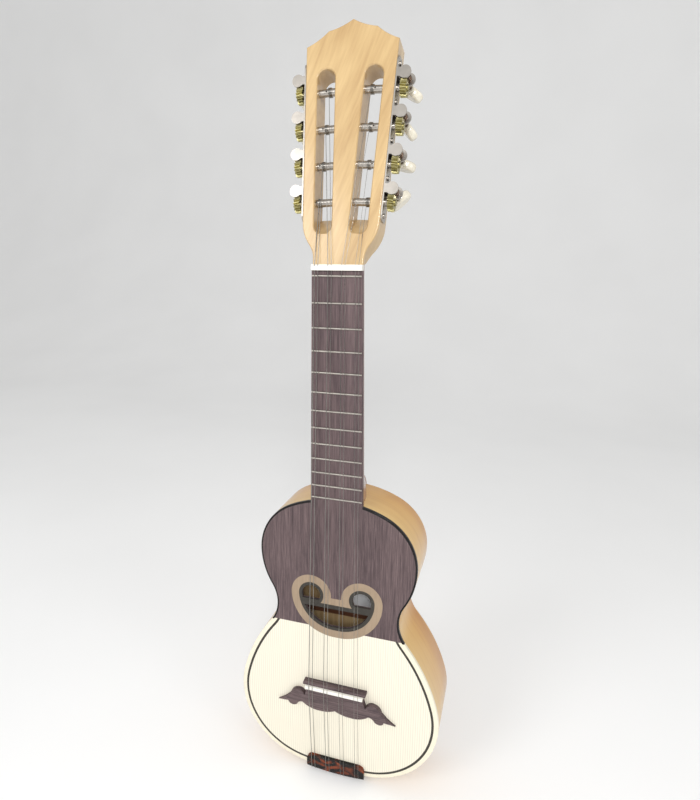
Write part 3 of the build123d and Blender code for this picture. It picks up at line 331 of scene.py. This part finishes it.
def wenge(name, woods, grain, figure):
    """Open-pored dark wood with pale streaks close together."""
    shader = Shader(name)
    dark, light = woods.wenge_dark, woods.wenge_light
    streaks = shader.noise(shader.stretched(grain), 1.0, 6.0, 0.75, 0.1)
    bands = shader.noise(shader.stretched(figure, shift=(0.2, 0.0, 0.4)), 1.0, 4.0, 0.6, 0.3)
    tone = shader.ramp(streaks, (0.40, dark), (0.50, shaded(dark, light, 0.40)), (0.60, light))
    wide = shader.ramp(bands, (0.35, shaded(dark, light, 0.12)), (0.65, shaded(dark, light, 0.8)))
    shader.paint(shader.blend(tone, wide, 0.40))
    shader.polish(streaks, 0.62, 0.48)
    shader.relief(streaks, 0.00004)
    return shader.set(Specular_IOR_Level=0.25).material


def soundboard_spruce(woods):
    shader = Shader("pale spruce")
    tone, line = woods.spruce, woods.spruce_line
    wavy = shader.noise(shader.stretched((14, 14, 2.5)), 1.0, 2.0)
    lines = shader.lines(shader.stretched((1, 1, 0.04)), woods.line_spacing, 1.6)
    fine = shader.noise(shader.stretched((2200, 2200, 60)), 1.0, 3.0, 0.6)
    grain = shader.ramp(lines, (0.0, shaded(tone, line, 0.55)), (0.35, shaded(tone, line, 0.12)),
                        (1.0, tone))
    grain = shader.blend(grain, shaded(tone, line, 0.4), shader.spread(fine, 0.0, 0.5, 0.5, 0.8))
    shader.paint(shader.blend(grain, shaded(tone, line, 0.35),
                              shader.spread(wavy, 0.0, 0.35, 0.35, 0.8)))
    shader.polish(fine, 0.30, 0.42)
    shader.relief(lines, 0.000012)
    shader.set(Coat_Weight=0.25, Coat_Roughness=0.16)
    return shader.material


def metal(name, tone, rough, scratch=0.10):
    """Plated metal with faint rubbing and a slightly uneven tone."""
    shader = Shader(name)
    rub = shader.noise(shader.stretched((900, 900, 160)), 1.0, 4.0, 0.6)
    cloud = shader.noise(shader.stretched((120, 120, 120)), 1.0, 2.0)
    shader.paint(shader.ramp(cloud, (0.3, shaded((0, 0, 0), tone, 0.82)), (0.7, tone)))
    shader.polish(rub, rough, rough + scratch)
    shader.relief(rub, 0.000004)
    return shader.set(Metallic=1.0).material


def moulded(name, dark, light, cells, rough=0.25, coat=0.0, sheen_depth=0.000006,
            blur=(0.35, 0.65), shine=0.5):
    """Plastic, bone or pearl: clouds of two tones under a smooth skin."""
    shader = Shader(name)
    cloud = shader.noise(shader.stretched(cells), 1.0, 3.0, 0.5, 1.2)
    shader.paint(shader.ramp(cloud, (blur[0], dark), (blur[1], light)))
    fine = shader.noise(shader.stretched((1500, 1500, 1500)), 1.0, 2.0)
    shader.polish(fine, rough, rough + 0.08)
    shader.relief(fine, sheen_depth)
    return shader.set(Coat_Weight=coat, Coat_Roughness=0.06, Specular_IOR_Level=shine).material


def dress(material, *names):
    """Give CAD nodes a finish."""
    for name in names:
        for slot in NODES[name].material_slots:
            slot.material = material


# ---------------------------------------------------------------- finishes

class FinishBody(bpy.types.Operator):
    """Finish the soundboards, ribs, back and the wood inside"""
    bl_idname = "instrument.finish_body"
    bl_label = "Finish body"

    def execute(self, context):
        woods = context.scene.instrument_woods
        hardware = context.scene.instrument_hardware
        dress(soundboard_spruce(woods), "lower_soundboard")
        dress(wenge("wenge", woods, (1500, 1500, 34), (120, 120, 5)), "upper_soundboard")
        dress(rib_wood(woods), "side_left", "side_right")
        dress(back_wood(woods), "back_plate")
        bare = wood("bare lining wood", woods.inner_dark, woods.inner_light, (25, 500, 25),
                    rough=0.6)
        dress(bare, "linings", "neck_block", "tail_block")
        # The braces take the neck's grain at about half its tone: painted shade inside the body over
        # the braces' own brown.
        dress(wood("brace wood darkened as painted shade", shaded((0, 0, 0), woods.neck_dark, 0.6),
                   shaded((0, 0, 0), woods.neck_light, 0.5), (20, 700, 700), rough=0.6), "braces")
        black = moulded("black binding", (0.006, 0.005, 0.005), (0.012, 0.010, 0.010), (60, 60, 60),
                        rough=0.22, shine=0.22)
        cream = wood("cream binding", shaded(woods.spruce_line, hardware.cream, 0.6),
                     hardware.cream, (160, 160, 160), rough=0.3, coat=0.7, pores=0.05)
        dress(black, "upper_binding")
        dress(cream, "lower_binding")
        return {"FINISHED"}


class FinishSoundHole(bpy.types.Operator):
    """Finish the rings round the sound hole, the purfling and the label"""
    bl_idname = "instrument.finish_sound_hole"
    bl_label = "Finish sound hole"

    def execute(self, context):
        woods = context.scene.instrument_woods
        dress(wood("ring walnut", woods.ring_dark, woods.ring, (700, 700, 60), (60, 60, 30),
                   rough=0.45, coat=0.15), "sound_hole_ring")
        dress(wood("dark edging", shaded((0, 0, 0), woods.edging, 0.7), woods.edging,
                   (500, 500, 90), rough=0.5, shine=0.2), "sound_hole_edging", "purfling")
        dress(moulded("blank paper", (0.86, 0.88, 0.90), (0.93, 0.94, 0.95), (40, 40, 40),
                      rough=0.75, sheen_depth=0.00002), "label")
        return {"FINISHED"}


class FinishNeck(bpy.types.Operator):
    """Finish the neck, head and fingerboard"""
    bl_idname = "instrument.finish_neck"
    bl_label = "Finish neck and head"

    def execute(self, context):
        woods = context.scene.instrument_woods
        dress(figured_head(woods), "headstock")
        neck = wood("neck cedar", woods.neck_dark, woods.neck_light, (520, 520, 12), (40, 40, 5),
                    rough=0.28, coat=0.9, pores=0.35)
        dress(neck, "neck")
        board = wenge("fingerboard wenge", woods, (1700, 1700, 30), (140, 140, 5))
        dress(board, "fingerboard")
        return {"FINISHED"}


class FinishBridge(bpy.types.Operator):
    """Finish the bridge, saddle, nut and tail guard"""
    bl_idname = "instrument.finish_bridge"
    bl_label = "Finish bridge and tail"

    def execute(self, context):
        woods = context.scene.instrument_woods
        hardware = context.scene.instrument_hardware
        dark = wenge("bridge wenge", woods, (40, 1100, 1100), (8, 90, 90))
        dress(dark, "bridge", "bridge_front_bar")
        bone = moulded("bone", shaded((0, 0, 0), hardware.bone, 0.9), hardware.bone,
                       (90, 300, 300), rough=0.28, coat=0.2)
        dress(bone, "nut", "saddle")
        shell = moulded("dark tortoiseshell", (0.004, 0.003, 0.003), (0.20, 0.040, 0.012),
                        (60, 90, 120), rough=0.14, blur=(0.46, 0.66), shine=0.28)
        dress(shell, "tail_guard")
        return {"FINISHED"}


class FinishHardware(bpy.types.Operator):
    """Finish the tuners, frets, screws, pins and strings"""
    bl_idname = "instrument.finish_hardware"
    bl_label = "Finish hardware"

    def execute(self, context):
        hardware = context.scene.instrument_hardware
        every = [f"{side}_{number}" for side in SIDES for number in TUNERS]
        nickel = metal("plated nickel", hardware.nickel, 0.26)
        dress(nickel, "tuner_plates", "plate_screws", "frets", *[f"roller_{one}" for one in every])
        dress(metal("gear brass", hardware.brass, 0.30), *[f"gear_{one}" for one in every])
        dress(metal("worm bronze", hardware.bronze, 0.26), *[f"worm_{one}" for one in every])
        dress(metal("pin brass", hardware.brass, 0.22), "tail_pins")
        dress(metal("string steel", hardware.string_metal, 0.24), "strings")
        pearl = moulded("cloudy pearl", shaded((0.2, 0.16, 0.1), hardware.pearl, 0.8),
                        hardware.pearl, (70, 130, 130), rough=0.16, coat=0.8)
        dress(pearl, *[f"button_{one}" for one in every])
        return {"FINISHED"}


# ---------------------------------------------------------------- wound strings

def winding_tree(material):
    """A wire wound in a helix about a line, then turned and moved to its roller."""
    tree = bpy.data.node_groups.new("wound string", "GeometryNodeTree")
    face = tree.interface
    for name, kind in (("Turns", "NodeSocketFloat"), ("Radius", "NodeSocketFloat"),
                       ("Length", "NodeSocketFloat"), ("Wire", "NodeSocketFloat"),
                       ("Turn", "NodeSocketRotation"), ("Place", "NodeSocketVector")):
        face.new_socket(name, in_out="INPUT", socket_type=kind)
    face.new_socket("Geometry", in_out="OUTPUT", socket_type="NodeSocketGeometry")
    nodes, links = tree.nodes, tree.links
    given = nodes.new("NodeGroupInput").outputs
    helix = nodes.new("GeometryNodeCurveSpiral")
    helix.inputs["Resolution"].default_value = 24
    for name, source in (("Rotations", "Turns"), ("Start Radius", "Radius"),
                         ("End Radius", "Radius"), ("Height", "Length")):
        links.new(given[source], helix.inputs[name])
    ring = nodes.new("GeometryNodeCurvePrimitiveCircle")
    ring.inputs["Resolution"].default_value = 10
    links.new(given["Wire"], ring.inputs["Radius"])
    tube = nodes.new("GeometryNodeCurveToMesh")
    tube.inputs["Fill Caps"].default_value = True
    links.new(helix.outputs["Curve"], tube.inputs["Curve"])
    links.new(ring.outputs["Curve"], tube.inputs["Profile Curve"])
    moved = nodes.new("GeometryNodeTransform")
    links.new(tube.outputs["Mesh"], moved.inputs["Geometry"])
    links.new(given["Turn"], moved.inputs["Rotation"])
    links.new(given["Place"], moved.inputs["Translation"])
    whole = nodes.new("GeometryNodeRealizeInstances")
    links.new(moved.outputs["Geometry"], whole.inputs["Geometry"])
    finish = nodes.new("GeometryNodeSetMaterial")
    finish.inputs["Material"].default_value = material
    links.new(whole.outputs["Geometry"], finish.inputs["Geometry"])
    links.new(finish.outputs["Geometry"], nodes.new("NodeGroupOutput").inputs["Geometry"])
    return tree


def grown(name, tree, values):
    """Run a tree with its named inputs and keep the plain mesh."""
    seed = bpy.data.objects.new("seed", bpy.data.meshes.new("seed"))
    bpy.context.scene.collection.objects.link(seed)
    modifier = seed.modifiers.new("grow", "NODES")
    modifier.node_group = tree
    sockets = {item.name: item.identifier for item in tree.interface.items_tree
               if item.in_out == "INPUT"}
    for key, value in values.items():
        modifier[sockets[key]] = value
    graph = bpy.context.evaluated_depsgraph_get()
    mesh = bpy.data.meshes.new_from_object(seed.evaluated_get(graph), depsgraph=graph)
    bpy.data.objects.remove(seed)
    mesh.name = name
    mesh.shade_smooth()
    piece = bpy.data.objects.new(name, mesh)
    bpy.context.scene.collection.objects.link(piece)
    return piece


class WindStrings(bpy.types.Operator):
    """Wind the end of each string on its roller"""
    bl_idname = "instrument.wind_strings"
    bl_label = "Wind strings"

    def execute(self, context):
        hardware = context.scene.instrument_hardware
        steel = NODES["strings"].material_slots[0].material
        tree = winding_tree(steel)
        for side in SIDES:
            for number in TUNERS:
                joint = JOINTS[f"wind_{side}_{number}"]
                axis = Vector(joint["axis"]).normalized()
                seat = Vector(joint["pos_m"])
                inset = STRING_INSETS[number - 1]
                start = seat - axis * (inset + hardware.winding_length / 2)
                piece = grown(f"winding_{side}_{number}", tree, {
                    "Turns": float(hardware.turns), "Radius": hardware.winding_radius,
                    "Length": hardware.winding_length, "Wire": hardware.wire,
                    "Turn": axis.to_track_quat("Z", "Y").to_euler(), "Place": start})
                if len(piece.data.polygons) < LEAST_WINDING_FACES:
                    raise RuntimeError(f"no winding was made for {side} {number}")
                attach(piece, f"post_{side}_{number}")
        return {"FINISHED"}


# ---------------------------------------------------------------- studio

def flat_material(name, tone, rough):
    shader = Shader(name)
    grain = shader.noise(shader.stretched((3, 3, 3)), 1.0, 2.0)
    shader.paint(shader.ramp(grain, (0.3, shaded((0, 0, 0), tone, 0.97)), (0.7, tone)))
    return shader.set(Roughness=rough).material


def area_light(name, place, target, size, power, tone=(1, 1, 1)):
    data = bpy.data.lights.new(name, "AREA")
    data.shape, data.size, data.energy, data.color = "DISK", size, power, tone
    lamp = bpy.data.objects.new(name, data)
    lamp.matrix_world = (Matrix.Translation(place)
                         @ (Vector(target) - Vector(place)).to_track_quat("-Z", "Y")
                         .to_matrix().to_4x4())
    bpy.context.scene.collection.objects.link(lamp)
    return lamp


class SetStudio(bpy.types.Operator):
    """Set the floor, soft lights and camera"""
    bl_idname = "instrument.set_studio"
    bl_label = "Set studio"

    def execute(self, context):
        scene = context.scene
        studio = scene.instrument_studio
        level = CAD_BOX[0][2] - studio.floor_drop
        sweep = bpy.data.meshes.new("floor")
        bend = [(FLOOR_BEND + FLOOR_BEND * sin(radians(turn)),
                 FLOOR_BEND - FLOOR_BEND * cos(radians(turn))) for turn in range(0, 91, 6)]
        profile = [(FLOOR_FRONT, 0.0)] + bend + [(2 * FLOOR_BEND, WALL_TOP)]
        points = [(x, y, level + z) for x in (-FLOOR_HALF_WIDTH, FLOOR_HALF_WIDTH)
                  for y, z in profile]
        count = len(profile)
        sweep.from_pydata(points, [], [(k + 1, k, k + count, k + count + 1)
                                       for k in range(count - 1)])
        sweep.shade_smooth()
        floor = bpy.data.objects.new("floor", sweep)
        scene.collection.objects.link(floor)
        sweep.materials.append(flat_material("pale floor", studio.floor_tone, 0.8))
        area_light("key", (-0.85, -1.3, 0.65), (0, 0, -0.15), 0.8, studio.key_power)
        area_light("fill", (1.3, -0.7, 0.3), (0, 0, -0.2), 0.6, studio.fill_power)
        area_light("front", (0.36, -1.11, 0.52), (0, 0, -0.25), 0.35, studio.front_power)
        world = scene.world or bpy.data.worlds.new("studio")
        scene.world = world
        world.use_nodes = True
        sky = world.node_tree.nodes["Background"]
        sky.inputs["Color"].default_value = (1, 1, 1, 1)
        sky.inputs["Strength"].default_value = studio.sky
        scene.view_settings.view_transform = "Standard"
        data = bpy.data.cameras.new("camera")
        data.lens, data.sensor_width, data.clip_start = studio.lens, 36.0, 0.01
        camera = bpy.data.objects.new("camera", data)
        across = Vector(CAMERA_ACROSS).normalized()
        ahead = Vector(CAMERA_AHEAD).normalized()
        up = across.cross(ahead).normalized()
        across = ahead.cross(up)
        turned = Matrix((across, up, -ahead)).transposed().to_4x4()
        camera.matrix_world = Matrix.Translation(studio.camera_place) @ turned
        scene.collection.objects.link(camera)
        scene.camera = camera
        return {"FINISHED"}


class InstrumentPanel(bpy.types.Panel):
    """Lists the steps that build the instrument"""
    bl_idname = "VIEW3D_PT_instrument"
    bl_label = "Instrument"
    bl_space_type = "VIEW_3D"
    bl_region_type = "UI"
    bl_category = "Instrument"

    def draw(self, context):
        for step in STEPS:
            self.layout.operator(step.bl_idname)
        for group in (context.scene.instrument_woods, context.scene.instrument_hardware,
                      context.scene.instrument_studio):
            box = self.layout.box()
            for key in group.bl_rna.properties.keys():
                if key not in ("rna_type", "name"):
                    box.prop(group, key)


GROUPS = {"instrument_woods": WoodSettings, "instrument_hardware": HardwareSettings,
          "instrument_studio": StudioSettings}
STEPS = (FinishBody, FinishSoundHole, FinishNeck, FinishBridge, FinishHardware, WindStrings,
         SetStudio)


def register():
    for kind in tuple(GROUPS.values()) + STEPS + (InstrumentPanel,):
        bpy.utils.register_class(kind)
    for name, kind in GROUPS.items():
        setattr(bpy.types.Scene, name, PointerProperty(type=kind))


def unregister():
    for name in GROUPS:
        delattr(bpy.types.Scene, name)
    for kind in reversed(tuple(GROUPS.values()) + STEPS + (InstrumentPanel,)):
        bpy.utils.unregister_class(kind)


def main():
    register()
    for step in STEPS:
        family, action = step.bl_idname.split(".")
        getattr(getattr(bpy.ops, family), action)()


if __name__ == "__main__":
    main()
